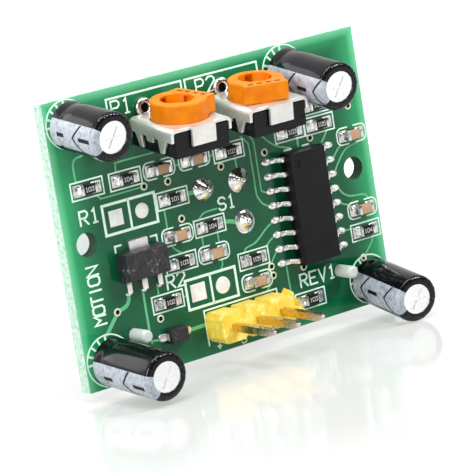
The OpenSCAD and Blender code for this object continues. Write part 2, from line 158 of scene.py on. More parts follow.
class Shape:
    """Vertices and faces in millimetres, each face with a material index."""

    def __init__(self):
        self.verts, self.faces, self.index = [], [], []

    def add(self, verts, faces, place=None, index=None):
        start = len(self.verts)
        place = place or Matrix.Identity(4)
        self.verts += [place @ Vector(v) for v in verts]
        self.faces += [[start + k for k in f] for f in faces]
        self.index += index or [0] * len(faces)

    def prism(self, outline, low, high, place=None, shrink=0.0):
        """An outline in local X and Y, raised from low to high; its top is drawn in by shrink."""
        n = len(outline)
        cx = sum(x for x, _ in outline) / n
        cy = sum(y for _, y in outline) / n
        k = 1 - shrink / max(math.hypot(x - cx, y - cy) for x, y in outline)
        bottom = [(x, y, low) for x, y in outline]
        top = [(cx + (x - cx) * k, cy + (y - cy) * k, high) for x, y in outline]
        self.add(bottom + top, ring_faces(2, n), place)

    def lathe(self, profile, place=None, segments=48, materials=None, closed=False):
        """Turns (radius, height) points about local Z. materials gives an index from step and turn."""
        rings, verts, faces, index = [], [], [], []
        for r, h in profile:
            if r < 1e-6:
                rings.append([len(verts)] * segments)
                verts.append((0, 0, h))
            else:
                rings.append(list(range(len(verts), len(verts) + segments)))
                verts += [(*polar(r, 360 * k / segments), h) for k in range(segments)]
        steps = zip(rings, rings[1:] + rings[:1] if closed else rings[1:])
        for step, (a, b) in enumerate(steps):
            for k in range(segments):
                j = (k + 1) % segments
                face = list(dict.fromkeys((a[k], a[j], b[j], b[k])))
                if len(face) > 2:
                    faces.append(face)
                    index.append(materials(step, k / segments) if materials else 0)
        self.add(verts, faces, place, index)

    def ribbon(self, path, width, high, place, closed=False):
        """A flat strip along a path in local X and Y, with mitred corners and rounded ends."""
        pts = [Vector(p) for p in path]
        n = len(pts)
        left, right = [], []
        for i, p in enumerate(pts):
            a = (p - pts[i - 1]).normalized() if (i or closed) else None
            b = (pts[(i + 1) % n] - p).normalized() if (i < n - 1 or closed) else None
            d = a if b is None else b if a is None else (a + b).normalized()
            side = Vector((-d.y, d.x))
            grow = 1.0
            if a is not None and b is not None:
                grow = 1 / max(0.45, Vector((-a.y, a.x)).dot(side))
            left.append(p + side * width / 2 * grow)
            right.append(p - side * width / 2 * grow)
        if closed:
            verts = [(v.x, v.y, h) for h in (0.0, high) for side in (left, right) for v in side]
            faces = []
            for i in range(n):
                here, there = ([j + n * k for k in range(4)] for j in (i, (i + 1) % n))
                faces += [[here[a], here[b], there[b], there[a]] for a, b in ((2, 3), (1, 0), (0, 2), (3, 1))]
            self.add(verts, faces, place)
            return
        outline = right + round_end(pts[-1], right[-1]) + left[::-1] + round_end(pts[0], left[0])
        self.prism([(v.x, v.y) for v in outline], 0.0, high, place)

    def mesh(self, name):
        data = bpy.data.meshes.new(name)
        data.from_pydata([v * MM for v in self.verts], [], self.faces)
        data.polygons.foreach_set("material_index", self.index)
        work = bmesh.new()
        work.from_mesh(data)
        bmesh.ops.recalc_face_normals(work, faces=work.faces)
        work.to_mesh(data)
        work.free()
        data.update()
        return data


def round_end(centre, edge, steps=4):
    """Points of a half circle round the centre, starting after the edge."""
    arm = edge - centre
    size, start = arm.length, math.degrees(math.atan2(arm.y, arm.x))
    return [centre + Vector(polar(size, start + 180 * k / steps)) for k in range(1, steps)]


def smooth_by_angle(data, degrees=35):
    """Smooth shading, with edges sharper than the angle kept sharp."""
    data.polygons.foreach_set("use_smooth", [True] * len(data.polygons))
    work = bmesh.new()
    work.from_mesh(data)
    limit = math.radians(degrees)
    for e in work.edges:
        e.smooth = len(e.link_faces) == 2 and e.calc_face_angle(0) < limit
    work.to_mesh(data)
    work.free()
    data.update()


def with_modifiers(obj):
    """Keeps the result of an object's modifiers in its mesh."""
    bpy.context.view_layer.update()
    ready = obj.evaluated_get(bpy.context.evaluated_depsgraph_get())
    data = bpy.data.meshes.new_from_object(ready)
    obj.modifiers.clear()
    obj.data = data


def even_normals(obj):
    """Keeps large flat faces evenly shaded next to rounded edges."""
    weighted = obj.modifiers.new("normals", "WEIGHTED_NORMAL")
    weighted.keep_sharp = True
    with_modifiers(obj)


def rounded(obj, width, segments=2, angle=30):
    """Rounds every edge sharper than the angle, and keeps the result in the mesh."""
    bevel = obj.modifiers.new("edges", "BEVEL")
    bevel.width = width * MM
    bevel.segments = segments
    bevel.limit_method = "ANGLE"
    bevel.angle_limit = math.radians(angle)
    with_modifiers(obj)


def new_object(name, data):
    obj = bpy.data.objects.new(name, data)
    bpy.context.scene.collection.objects.link(obj)
    return obj


def finish_piece(obj, body, materials, replaces):
    """Gives a piece its materials, named as in M, hangs it on its body's empty and hides the CAD nodes it
    replaces.
    """
    for key in materials.split():
        obj.data.materials.append(M[key])
    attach(obj, body)
    if replaces:
        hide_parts(*replaces)


def make(name, shape, materials, body=BOARD, replaces=(), bevel=0.0, segments=2, angle=35):
    obj = new_object(name, shape.mesh(name))
    if bevel:
        rounded(obj, bevel, segments)
    smooth_by_angle(obj.data, angle)
    if bevel:
        even_normals(obj)
    finish_piece(obj, body, materials, replaces)


def softened(node, materials, width, body=BOARD, segments=2, bend=None, angle=28):
    """A copy of a CAD node with its edges rounded, which stands for it."""
    obj = new_object(node + "_piece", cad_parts[node].data.copy())
    obj.data.materials.clear()
    work = bmesh.new()
    work.from_mesh(obj.data)
    bmesh.ops.remove_doubles(work, verts=work.verts, dist=0.002 * MM)
    flat = math.radians(0.6)
    bmesh.ops.dissolve_limit(work, angle_limit=flat, verts=work.verts, edges=work.edges)
    bmesh.ops.recalc_face_normals(work, faces=work.faces)
    if bend:
        for v in work.verts:
            v.co = Vector(bend(v.co / MM)) * MM
    work.to_mesh(obj.data)
    work.free()
    if width:
        rounded(obj, width, segments, angle)
    smooth_by_angle(obj.data, 40)
    even_normals(obj)
    obj.data.polygons.foreach_set("material_index", [0] * len(obj.data.polygons))
    finish_piece(obj, body, materials, [node])


# -------------------- materials

def new_material(name, colour, roughness, metallic=0.0, **sockets):
    mat = bpy.data.materials.new(name)
    mat.use_nodes = True
    shader = mat.node_tree.nodes["Principled BSDF"]
    shader.inputs["Base Color"].default_value = (*colour, 1)
    shader.inputs["Roughness"].default_value = roughness
    shader.inputs["Metallic"].default_value = metallic
    for key, value in sockets.items():
        shader.inputs[key.replace("_", " ")].default_value = value
    return mat


class Nodes:
    """Short calls that add nodes to one material or world."""

    def __init__(self, owner, shader="Principled BSDF", place="Object"):
        self.tree = owner.node_tree
        self.shader = self.tree.nodes[shader]
        self.place = self.new("TexCoord").outputs[place]

    def new(self, kind, **sockets):
        """A node, with constants or other nodes' outputs in its inputs; i3 means input number 3."""
        node = self.tree.nodes.new("ShaderNode" + kind)
        for key, value in sockets.items():
            socket = node.inputs[int(key[1:]) if key[1:].isdigit() else key.replace("_", " ")]
            if isinstance(value, bpy.types.NodeSocket):
                self.tree.links.new(value, socket)
            else:
                socket.default_value = value
        return node

    def noise(self, size_mm, detail=3.0, roughness=0.55, distortion=0.0):
        return self.new("TexNoise", Vector=self.place, Scale=1 / (size_mm * MM), Detail=detail,
                        Roughness=roughness, Distortion=distortion).outputs["Fac"]

    def ramp(self, value, stops):
        node = self.new("ValToRGB", Fac=value)
        points = node.color_ramp.elements
        while len(points) < len(stops):
            points.new(0.5)
        for point, (at, colour) in zip(points, stops):
            point.position = at
            point.color = (*colour, 1)
        return node.outputs["Color"]

    def grey(self, value, low, high, at=(0.3, 0.7)):
        """value spread over at, mapped to low and high."""
        node = self.new("MapRange", Value=value, From_Min=at[0], From_Max=at[1], To_Min=low, To_Max=high)
        return node.outputs["Result"]

    def math(self, operation, a, b=0.5):
        node = self.new("Math", i0=a, i1=b)
        node.operation = operation
        return node.outputs["Value"]

    def length(self, vector):
        node = self.new("VectorMath", i0=vector)
        node.operation = "LENGTH"
        return node.outputs["Value"]

    def mix(self, factor, a, b):
        node = self.new("Mix")
        node.data_type = "RGBA"
        for socket, value in zip((node.inputs[0], node.inputs[6], node.inputs[7]), (factor, a, b)):
            if isinstance(value, tuple):
                socket.default_value = (*value, 1)
            else:
                self.tree.links.new(value, socket)
        return node.outputs[2]

    def axes(self):
        return self.new("SeparateXYZ", Vector=self.place).outputs

    def into(self, name, output):
        self.tree.links.new(output, self.shader.inputs[name])

    def surface(self, colour, rough, relief=None, depth_mm=0.0):
        self.into("Base Color", colour)
        self.into("Roughness", rough)
        if relief:
            bump = self.new("Bump", Height=relief, Distance=depth_mm * MM)
            self.into("Normal", bump.outputs["Normal"])


def tint(colour, k):
    return tuple(min(1.0, c * k) for c in colour)


def plain(name, colour, rough, metallic=0.0, grain=0.3, spread=0.12, bump=0.004, rough_spread=0.06,
          **sockets):
    """A moulded, plated or printed surface: fine mottling in colour, gloss and height."""
    mat = new_material(name, colour, rough, metallic, **sockets)
    n = Nodes(mat)
    fine, broad = n.noise(grain, 4), n.noise(grain * 9, 2)
    both = n.math("ADD", n.math("MULTIPLY", fine, 0.5), n.math("MULTIPLY", broad, 0.5))
    mottled = n.ramp(both, [(0.32, tint(colour, 1 - spread)), (0.68, tint(colour, 1 + spread))])
    n.surface(mottled, n.grey(broad, rough - rough_spread, rough + rough_spread), fine, bump)
    return mat


def cloudy(name, clouds, stops, rough, grain, depth, metallic=0.0, **sockets):
    """Clouds of colour between the stops, gloss that follows the clouds, and relief of its own grain."""
    mat = new_material(name, stops[-1][1], rough[0], metallic, **sockets)
    n = Nodes(mat)
    cloud = n.noise(*clouds)
    n.surface(n.ramp(cloud, stops), n.grey(cloud, *rough), n.noise(*grain), depth)
    return mat


def board_material():
    """Glossy solder mask over laminate, brighter near the cut edges with a painted glow of light through the
    laminate, with pale fibrous edges and a drilled hole whose wall is painted dark as shade.
    """
    mat = new_material("solder_mask", (0.01, 0.13, 0.04), 0.14, Specular_IOR_Level=0.36)
    n = Nodes(mat)
    x, _, z = n.axes()
    mottled = n.noise(5.0, 3)
    deep = n.ramp(mottled, [(0.3, (0.0010, 0.070, 0.025)), (0.7, (0.0022, 0.094, 0.040))])
    # Painted glow: the mask is painted brighter towards the side, top and bottom edges, standing for light
    # shining through the laminate there.
    side = n.math("ABSOLUTE", x)
    near_side = n.grey(side, 0.0, 1.0, ((BOARD_X - 3.8) * MM, BOARD_X * MM))
    near_top = n.grey(z, 0.0, 0.9, ((BOARD_Z - 2.4) * MM, BOARD_Z * MM))
    near_bottom = n.grey(z, 0.55, 0.0, (-BOARD_Z * MM, (-BOARD_Z + 2.0) * MM))
    near = n.math("MAXIMUM", n.math("MAXIMUM", near_side, near_top), near_bottom)
    glow = n.math("POWER", n.math("MULTIPLY", near, 0.95), 1.6)
    lit = n.mix(glow, deep, (0.022, 0.38, 0.14))
    # Painted glow: a paler band along the outermost side and top edges.
    outermost = n.math("MAXIMUM", side, n.math("ADD", z, (BOARD_X - BOARD_Z) * MM))
    rim = n.grey(outermost, 0.0, 0.34, ((BOARD_X - 0.8) * MM, BOARD_X * MM))
    face = n.mix(rim, lit, (0.35, 0.78, 0.52))
    flecks = n.noise(0.35, 5, 0.7)
    laminate = n.ramp(flecks, [(0.30, (0.08, 0.30, 0.17)), (0.44, (0.33, 0.51, 0.40)),
                               (0.62, (0.52, 0.63, 0.56))])
    out_x = n.math("GREATER_THAN", side, (BOARD_X - 0.03) * MM)
    out_z = n.math("GREATER_THAN", n.math("ABSOLUTE", z), (BOARD_Z - 0.03) * MM)
    cut = n.math("MAXIMUM", out_x, out_z)
    # Painted shade: the drilled hole's wall is painted dark green for the shade inside the hole.
    from_hole = n.new("CombineXYZ", X=n.math("SUBTRACT", side, HOLE_X * MM), Z=z).outputs["Vector"]
    drilled = n.math("LESS_THAN", n.length(from_hole), (HOLE_R + 0.02) * MM)
    bare = n.math("MAXIMUM", cut, drilled)
    relief = n.math("ADD", n.math("MULTIPLY", flecks, bare), n.math("MULTIPLY", n.noise(1.2, 2), 0.25))
    n.surface(n.mix(drilled, n.mix(cut, face, laminate), (0.012, 0.050, 0.022)),
              n.math("MAXIMUM", n.math("MULTIPLY", bare, 0.75), n.grey(mottled, 0.07, 0.12)), relief, 0.03)
    return mat


def pin_material():
    """Gilt square pins whose tips are worn to a greyish pink."""
    mat = new_material("pin_gilt", (0.80, 0.58, 0.22), 0.25, 1.0)
    n = Nodes(mat)
    tip = box_mm("header_pins")[0].y * MM
    worn = n.grey(n.axes()[1], 1.0, 0.0, (tip + 0.2 * MM, tip + 2.6 * MM))
    patchy = n.noise(0.5, 4)
    gilt = n.ramp(patchy, [(0.3, (0.62, 0.40, 0.12)), (0.7, (0.84, 0.60, 0.23))])
    n.surface(n.mix(worn, gilt, (0.62, 0.52, 0.48)), n.grey(patchy, 0.18, 0.38), n.noise(0.15, 3), 0.003)
    return mat


def orange_material():
    """Orange moulded plastic: a little light gets into it."""
    mat = new_material("rotor_orange", (0.95, 0.33, 0.012), 0.38,
                       Specular_IOR_Level=0.14, Subsurface_Weight=0.15,
                       Subsurface_Radius=(0.001, 0.0005, 0.0002), Subsurface_Scale=0.5)
    n = Nodes(mat)
    blotch = n.ramp(n.noise(1.3, 3), [(0.3, (0.54, 0.130, 0.0002)), (0.7, (0.66, 0.195, 0.0004))])
    n.surface(blotch, n.grey(n.noise(0.25, 3), 0.30, 0.46), n.noise(0.12, 2), 0.004)
    return mat


def yellow_material():
    """Yellow moulded plastic with paler scuffs."""
    mat = new_material("header_yellow", (0.88, 0.60, 0.05), 0.38)
    n = Nodes(mat)
    blotch = n.noise(0.9, 4, 0.6)
    scuff = n.noise(0.55, 5, 0.62)
    body = n.ramp(blotch, [(0.3, (0.70, 0.46, 0.02)), (0.65, (0.80, 0.61, 0.07))])
    marks = n.grey(scuff, 0.0, 0.75, (0.50, 0.66))
    relief = n.math("ADD", scuff, n.math("MULTIPLY", blotch, 0.6))
    n.surface(n.mix(marks, body, (0.86, 0.82, 0.36)), n.grey(blotch, 0.30, 0.46), relief, 0.05)
    return mat


def crust_material():
    """Black moulding compound with a pitted and partly shiny face."""
    mat = new_material("pitted_epoxy", (0.02, 0.02, 0.022), 0.35, Specular_IOR_Level=0.45)
    n = Nodes(mat)
    pits = n.noise(0.30, 6, 0.72, 0.4)
    flecks = n.ramp(n.math("MULTIPLY", pits, n.math("ADD", n.noise(1.6, 3), 0.55)),
                    [(0.45, (0.008, 0.0075, 0.009)), (0.62, (0.020, 0.019, 0.022)),
                     (0.74, (0.20, 0.19, 0.22))])
    n.surface(flecks, n.grey(pits, 0.22, 0.6), pits, 0.14)
    return mat


def floor_material():
    """Pale glossy acrylic under the object, which fades into plain white further out."""
    mat = new_material("floor", (0.28, 0.282, 0.28), 0.1, Emission_Color=(0.98, 1.0, 0.97, 1))
    n = Nodes(mat)
    fade = n.grey(n.length(n.place), 0.0, 1.0, (32 * MM, 85 * MM))
    seen = n.new("LightPath").outputs["Is Camera Ray"]
    extra = n.math("MULTIPLY", fade, n.math("ADD", n.math("MULTIPLY", seen, 0.4), 0.2))
    n.into("Emission Strength", n.math("ADD", extra, 0.40))
    pale = n.ramp(n.noise(60, 2), [(0.3, (0.27, 0.273, 0.27)), (0.7, (0.29, 0.293, 0.29))])
    n.surface(pale, n.grey(n.noise(40, 2), 0.08, 0.12))
    return mat


M = {
    "board": board_material(),
    "silk": plain("legend_ink", (0.64, 0.84, 0.71), 0.45, grain=0.18, spread=0.07, bump=0.003),
    "trace": plain("track_under_mask", (0.10, 0.42, 0.19), 0.16, grain=0.5, spread=0.12, bump=0.002),
    "via": plain("via_ring", (0.62, 0.66, 0.46), 0.35, grain=0.2),
    "solder": cloudy("solder", (0.5, 4, 0.6), [(0.32, (0.42, 0.41, 0.41)), (0.62, (0.88, 0.88, 0.88))],
                     (0.14, 0.36), (0.26, 3), 0.020, 1.0),
    "joint": cloudy("solder_joint", (0.7, 3), [(0.34, (0.50, 0.49, 0.48)), (0.62, (0.86, 0.86, 0.86))],
                    (0.13, 0.27), (0.55, 2), 0.05, 1.0),
    "bright": plain("bright_solder", (0.86, 0.86, 0.85), 0.30, 0.75, grain=0.25, spread=0.10, bump=0.012),
    "tinned": plain("tinned_leads", (0.82, 0.81, 0.80), 0.28, 1.0, grain=0.25, spread=0.10, bump=0.006),
    "nickel": plain("nickel_plate", (0.74, 0.73, 0.71), 0.26, 1.0, grain=0.5, spread=0.06, bump=0.003),
    "plate": plain("plated_sheet", (0.72, 0.70, 0.67), 0.36, 0.75, grain=0.4, spread=0.12, bump=0.010),
    "black": plain("black_plastic", (0.004, 0.004, 0.005), 0.42, grain=0.2, spread=0.3, bump=0.006,
                   Specular_IOR_Level=0.22),
    "orange": orange_material(),
    # Painted shade: dark brown for the floors of the rotor's slots.
    "slot_shade": plain("slot_shadow", (0.045, 0.016, 0.006), 0.6, grain=0.12, spread=0.3, bump=0.006),
    "sleeve": plain("sleeve_black", (0.003, 0.003, 0.004), 0.13, grain=0.6, spread=0.2, bump=0.004,
                    rough_spread=0.04, Specular_IOR_Level=0.26),
    "stripe": cloudy("sleeve_stripe", (0.45, 5, 0.65), [(0.3, (0.20, 0.225, 0.27)), (0.5, (0.31, 0.34, 0.39)),
                                                        (0.72, (0.42, 0.45, 0.50))],
                     (0.22, 0.36), (0.45, 5, 0.65), 0.004),
    "print": plain("sleeve_print", (0.62, 0.64, 0.66), 0.5, grain=0.2, spread=0.15, bump=0.002),
    "marks": plain("sleeve_marks", (0.006, 0.006, 0.008), 0.5, grain=0.2, spread=0.2, bump=0.002,
                   Specular_IOR_Level=0.15),
    "aluminium": plain("aluminium", (0.94, 0.94, 0.95), 0.30, 1.0, grain=0.3, spread=0.03, bump=0.003),
    "rubber": plain("rubber_bung", (0.02, 0.018, 0.017), 0.7, grain=0.25, spread=0.25, bump=0.01),
    "epoxy": plain("moulded_epoxy", (0.004, 0.004, 0.005), 0.46, grain=0.11, spread=0.6, bump=0.035,
                   rough_spread=0.10, Specular_IOR_Level=0.24),
    "crust": crust_material(),
    "pad": cloudy("pad_solder", (0.8, 3), [(0.3, (0.78, 0.79, 0.78)), (0.65, (0.93, 0.94, 0.93))],
                  (0.42, 0.58), (0.3, 3), 0.008, 0.55),
    "glassy": plain("resistor_glaze", (0.006, 0.006, 0.007), 0.30, grain=0.2, spread=0.3, bump=0.004,
                    Specular_IOR_Level=0.25),
    "code": plain("resistor_code", (0.55, 0.55, 0.52), 0.5, grain=0.1, spread=0.1, bump=0.002),
    "tan": plain("ceramic_tan", (0.42, 0.27, 0.15), 0.42, grain=0.15, spread=0.16, bump=0.006),
    "yellow": yellow_material(),
    "pins": pin_material(),
    "gilt": plain("gilt", (0.86, 0.64, 0.28), 0.25, 1.0, grain=0.3, spread=0.08, bump=0.003),
    "lens": cloudy("lens_milky", (2.5, 3), [(0.3, (0.51, 0.56, 0.535)), (0.7, (0.59, 0.64, 0.615))],
                   (0.30, 0.42), (0.3, 2), 0.004, IOR=1.5, Transmission_Weight=0.10, Subsurface_Weight=0.12,
                   Subsurface_Radius=(0.0008, 0.0008, 0.0008), Subsurface_Scale=0.5),
    "window": plain("infrared_window", (0.03, 0.03, 0.035), 0.10, grain=0.8, spread=0.15, bump=0.001),
    "ceramic": plain("white_ceramic", (0.80, 0.79, 0.75), 0.45, grain=0.2, spread=0.05, bump=0.005),
    "element": plain("sensing_element", (0.10, 0.13, 0.13), 0.35, 0.4, grain=0.2, spread=0.15, bump=0.003),
    "carbon": plain("carbon_track", (0.015, 0.015, 0.016), 0.55, grain=0.12, spread=0.3, bump=0.008),
    "winding": plain("foil_winding", (0.45, 0.34, 0.22), 0.6, grain=0.2, spread=0.12, bump=0.01),
    # Painted shade: near-black fill for the unlit inside of via and eyelet holes.
    "hole": plain("via_dark", (0.002, 0.003, 0.002), 0.7, grain=0.1, spread=0.2, bump=0.002,
                  Specular_IOR_Level=0.1),
    # Partly flux and partly painted shade: the dark patch under each chip, between its pads.
    "flux_and_shade": plain("flux_and_shade_under_chips", (0.030, 0.050, 0.036), 0.30, grain=0.16, spread=0.45, bump=0.01),
    "floor": floor_material(),
}


# -------------------- outlines

def circle(cx, cy, r, steps):
    return [(cx + dx, cy + dy) for dx, dy in (polar(r, 360 * k / steps) for k in range(steps))]


def rectangle(cx, cy, half_w, half_h):
    return [(cx - half_w, cy - half_h), (cx + half_w, cy - half_h),
            (cx + half_w, cy + half_h), (cx - half_w, cy + half_h)]


def curved(points, steps=5):
    """A smooth path through the points."""
    if len(points) < 3:
        return points
    pts = [Vector(p) for p in points]
    ends = [pts[0] * 2 - pts[1]] + pts + [pts[-1] * 2 - pts[-2]]
    path = []
    for a, b, c, d in zip(ends, ends[1:], ends[2:], ends[3:]):
        for k in range(steps):
            t = k / steps
            path.append(0.5 * (2 * b + (c - a) * t + (2 * a - 5 * b + 4 * c - d) * t ** 2
                               + (3 * b - a - 3 * c + d) * t ** 3))
    return path + [pts[-1]]


# -------------------- board surface

TRACE_TOP, SILK_TOP = 0.025, 0.04
FLAT = on_board(0, 0)

# Tracks that show through the mask: width, then the points they pass
TRACKS = [
    (0.17, [(-13.0, 7.25), (-13.75, 7.1), (-14.05, 6.6), (-14.05, 5.25)]),
    (0.15, [(-6.2, 5.95), (-9.7, 5.95), (-10.0, 5.75), (-10.1, 5.2)]),
    (0.13, [(-12.25, 3.7), (-11.95, 3.42), (-11.5, 3.38), (-7.75, 3.4)]),
    (0.15, [(-6.02, 1.0), (-6.02, -0.6)]),
    (0.38, [(-3.45, 1.78), (-2.6, 1.8)]),
    (0.16, [(-2.75, -0.6), (-2.35, -0.25), (-1.9, -0.12), (-0.8, -0.1)]),
    (0.36, [(-0.2, -1.4), (0.4, -1.5), (1.2, -1.8)]),
    (0.14, [(-2.75, -2.0), (-2.75, -3.0)]),
    (0.14, [(-1.12, -2.0), (-1.12, -3.0)]),
    (0.15, [(-1.12, -4.4), (-1.15, -4.9), (-1.4, -5.3)]),
    (0.15, [(-5.95, -2.0), (-5.6, -2.45), (-5.0, -2.95)]),
    (0.34, [(-10.85, -4.8), (-10.9, -5.4), (-11.25, -5.9), (-12.2, -6.3), (-13.55, -7.75)]),
    (0.22, [(-9.42, -4.8), (-9.42, -9.1), (-9.2, -9.4), (-8.6, -9.5)]),
    (0.15, [(-7.95, -4.8), (-7.95, -5.9)]),
    (0.32, [(-5.85, -9.5), (-3.85, -9.45)]),
    (0.15, [(2.75, 5.3), (3.25, 4.75), (3.45, 4.1), (3.45, 0.4), (3.6, -0.25), (3.95, -0.8), (4.6, -1.2)]),
    (0.15, [(3.5, 5.4), (3.85, 4.9), (4.0, 4.3), (4.0, 0.7), (4.12, 0.25), (4.5, 0.02)]),
    (0.15, [(4.9, 4.9), (5.6, 4.2), (6.4, 3.65), (7.7, 3.2)]),
    (0.16, [(4.6, -2.6), (3.9, -2.95), (2.6, -3.85), (1.55, -4.1), (1.2, -4.45)]),
    (0.15, [(4.6, -3.85), (4.2, -4.0), (3.6, -4.45)]),
    (0.15, [(4.6, -5.15), (4.35, -5.4), (3.85, -6.0)]),
    (0.17, [(5.35, -6.5), (5.38, -8.9)]),
    (0.16, [(12.05, 1.35), (12.4, 1.75), (13.0, 2.25)]),
    (0.16, [(12.0, 0.1), (12.3, 0.6), (13.2, 1.6), (13.9, 1.95), (15.0, 2.15)]),
    (0.16, [(12.05, -1.3), (12.5, -1.9), (13.2, -2.3), (14.4, -2.45), (14.9, -2.6), (15.05, -2.95)]),
    (0.15, [(12.05, -2.6), (12.3, -2.8), (12.8, -3.0)]),
    (0.15, [(12.1, -5.15), (12.8, -5.15)]),
    (0.16, [(14.85, -6.35), (14.75, -6.8), (14.0, -7.6)]),
    (0.18, [(11.75, 3.8), (11.45, 3.4), (11.1, 3.0)]),
    (0.22, [(8.55, 3.9), (8.55, 3.2)]),
    (0.18, [(1.85, 3.65), (1.9, 2.6)]),
    (0.15, [(-4.3, 4.42), (-3.8, 4.42)]),
    (0.15, [(-0.75, 4.42), (-0.3, 4.42)]),
    (0.15, [(-5.2, 3.8), (-5.2, 3.3)]),
    (0.16, [(3.3, -7.9), (2.9, -8.3)]),
    (0.15, [(-5.6, -6.6), (-5.25, -6.6)]),
]


def make_tracks(name, tracks, place):
    shape = Shape()
    for width, points in tracks:
        shape.ribbon(curved(points), width, TRACE_TOP, place)
    make(name, shape, "trace", bevel=0.008, segments=1)


def make_vias():
    rings, holes = Shape(), Shape()
    for x, z in VIAS:
        place = on_board(x, z)
        ring = [(0.20, 0.0), (0.20, 0.05), (0.23, 0.07), (0.31, 0.06), (0.35, 0.0)]
        rings.lathe(ring, place, 24, closed=True)
        # Painted shade: a near-black plug standing for the shade inside the via's hole.
        holes.lathe([(0, -0.5), (0.19, -0.5), (0.19, 0.035), (0, 0.03)], place, 24)
    make("via_rings", rings, "via")
    make("via_holes", holes, "hole")


# Strokes of the legend's letters on a grid 4 wide and 6 high
STROKES = {
    "0": [[(0, 1), (0, 5), (1, 6), (3, 6), (4, 5), (4, 1), (3, 0), (1, 0), (0, 1)]],
    "1": [[(1, 5), (2, 6), (2, 0)], [(1, 0), (3, 0)]],
    "2": [[(0, 5), (1, 6), (3, 6), (4, 5), (4, 4), (0, 0), (4, 0)]],
    "3": [[(0, 6), (4, 6), (2, 3.6), (3, 3.6), (4, 2.6), (4, 1), (3, 0), (1, 0), (0, 1)]],
    "4": [[(3, 0), (3, 6), (0, 2), (4, 2)]],
    "5": [[(4, 6), (0, 6), (0, 3.5), (3, 3.5), (4, 2.5), (4, 1), (3, 0), (0, 0)]],
    "E": [[(4, 6), (0, 6), (0, 0), (4, 0)], [(0, 3), (3, 3)]],
    "I": [[(2, 0), (2, 6)]],
    "M": [[(0, 0), (0, 6), (2, 3), (4, 6), (4, 0)]],
    "N": [[(0, 0), (0, 6), (4, 0), (4, 6)]],
    "O": [[(0, 1), (0, 5), (1, 6), (3, 6), (4, 5), (4, 1), (3, 0), (1, 0), (0, 1)]],
    "P": [[(0, 0), (0, 6), (3, 6), (4, 5), (4, 4), (3, 3), (0, 3)]],
    "R": [[(0, 0), (0, 6), (3, 6), (4, 5), (4, 4), (3, 3), (0, 3)], [(1.6, 3), (4, 0)]],
    "S": [[(4, 5), (3, 6), (1, 6), (0, 5), (0, 4), (1, 3), (3, 3), (4, 2), (4, 1), (3, 0), (1, 0), (0, 1)]],
    "T": [[(0, 6), (4, 6)], [(2, 6), (2, 0)]],
    "V": [[(0, 6), (2, 0), (4, 6)]],
    "+": [[(0.5, 3), (3.5, 3)], [(2, 1.5), (2, 4.5)]],
    "-": [[(0.5, 3), (3.5, 3)]],
}


def write(shape, text, place, height, line, top=SILK_TOP, advance=5.6):
    """Draws text with plain strokes from the place's origin along its local X."""
    unit = height / 6
    for k, letter in enumerate(text):
        for stroke in STROKES[letter]:
            path = [((k * advance + x) * unit, y * unit) for x, y in stroke]
            ends_meet = stroke[0] == stroke[-1]
            shape.ribbon(path[:-1] if ends_meet else path, line, top, place, closed=ends_meet)


def rounded_bracket(x, z, side, half_w, half_h, r, gap):
    """Half of a rounded frame, open near the middle: side is 1 for the right half, -1 for the left."""
    path = [(side * gap, half_h)]
    for up, first in ((1, 0), (-1, 90)):
        for a in range(first, first + 91, 15):
            across, along = polar(r, a)
            path.append((side * (half_w - r + along), up * (half_h - r) + across))
    path.append((side * gap, -half_h))
    return [(x + dx, z + dz) for dx, dz in path]


CHIP_FRAME_X, CHIP_FRAME_Z = 1.57, 0.73

# Printed words: text, x, z, letter height, line width, turn in degrees, advance in sixths of the height
LEGEND = [
    ("R1", -14.25, 1.62, 1.15, 0.17, 0, 5.6), ("S1", -0.55, -0.35, 1.05, 0.17, 0, 5.6),
    ("R2", -6.95, -5.6, 1.15, 0.17, 0, 5.6), ("P1", -9.5, 9.75, 1.2, 0.15, 0, 5.6),
    ("P2", -0.9, 9.75, 1.2, 0.15, 0, 5.6), ("REV1", 6.55, -8.85, 1.1, 0.17, 0, 5.6),
    ("MOTION", -13.4, -6.8, 1.1, 0.18, 90, 4.55), ("+", -3.0, -11.98, 0.75, 0.14, 0, 5.6),
    ("S", -0.46, -11.98, 0.75, 0.14, 0, 5.6), ("-", 2.08, -11.98, 0.75, 0.14, 0, 5.6),
]


def make_legend():
    """Frames round the parts, then the words."""
    shape = Shape()

    def line(path, width, closed=False):
        shape.ribbon(path, width, SILK_TOP, FLAT, closed)

    for x, z, _ in RESISTORS:
        line(rectangle(x, z, CHIP_FRAME_X, CHIP_FRAME_Z), 0.13, True)
    for x, z in CERAMICS:
        for side in (-1, 1):
            line(rounded_bracket(x, z, side, CHIP_FRAME_X, CHIP_FRAME_Z, 0.5, 0.36), 0.13)
    for x, z, *_ in CAPS:
        r = min(2.2, BOARD_X - abs(x) - 0.08, BOARD_Z - abs(z) - 0.08)
        line(circle(x, z, r, 64), 0.13, True)
        for a in range(92, 181, 22):
            line([(x + dx, z + dz) for dx, dz in (polar(r - 0.55, a), polar(r - 0.1, a))], 0.2)
    for x0, x1 in ((-9.9, -2.35), (-1.95, 5.55)):
        line([(x0, 6.4), (x0, 11.2), (x1, 11.2), (x1, 6.4)], 0.17)
    for x0, x1, divide, z0, z1 in ((-12.0, -6.78, -9.4, 0.23, 2.73), (-5.18, 0.0, -2.62, -7.85, -5.33)):
        line(rectangle((x0 + x1) / 2, (z0 + z1) / 2, (x1 - x0) / 2, (z1 - z0) / 2), 0.23, True)
        line([(divide, z0), (divide, z1)], 0.21)
    line([(-3.78, -11.3), (-3.78, -8.28), (3.92, -8.28), (3.92, -11.3)], 0.15)
    for side, far in ((-1, -7.2), (1, -11.4)):
        line([(far + 0.62 * side, -0.82), (far, -0.82), (far, -1.35)], 0.16)
    line([(7.0, 3.12), (7.75, 3.12)], 0.16)
    line([(8.95, 3.12), (9.65, 3.12)], 0.16)
    for text, x, z, height, width, turn, advance in LEGEND:
        place = on_board(x, z) @ Matrix.Rotation(math.radians(turn), 4, "Z")
        write(shape, text, place, height, width, advance=advance)
    make("legend", shape, "silk", bevel=0.012, segments=1)


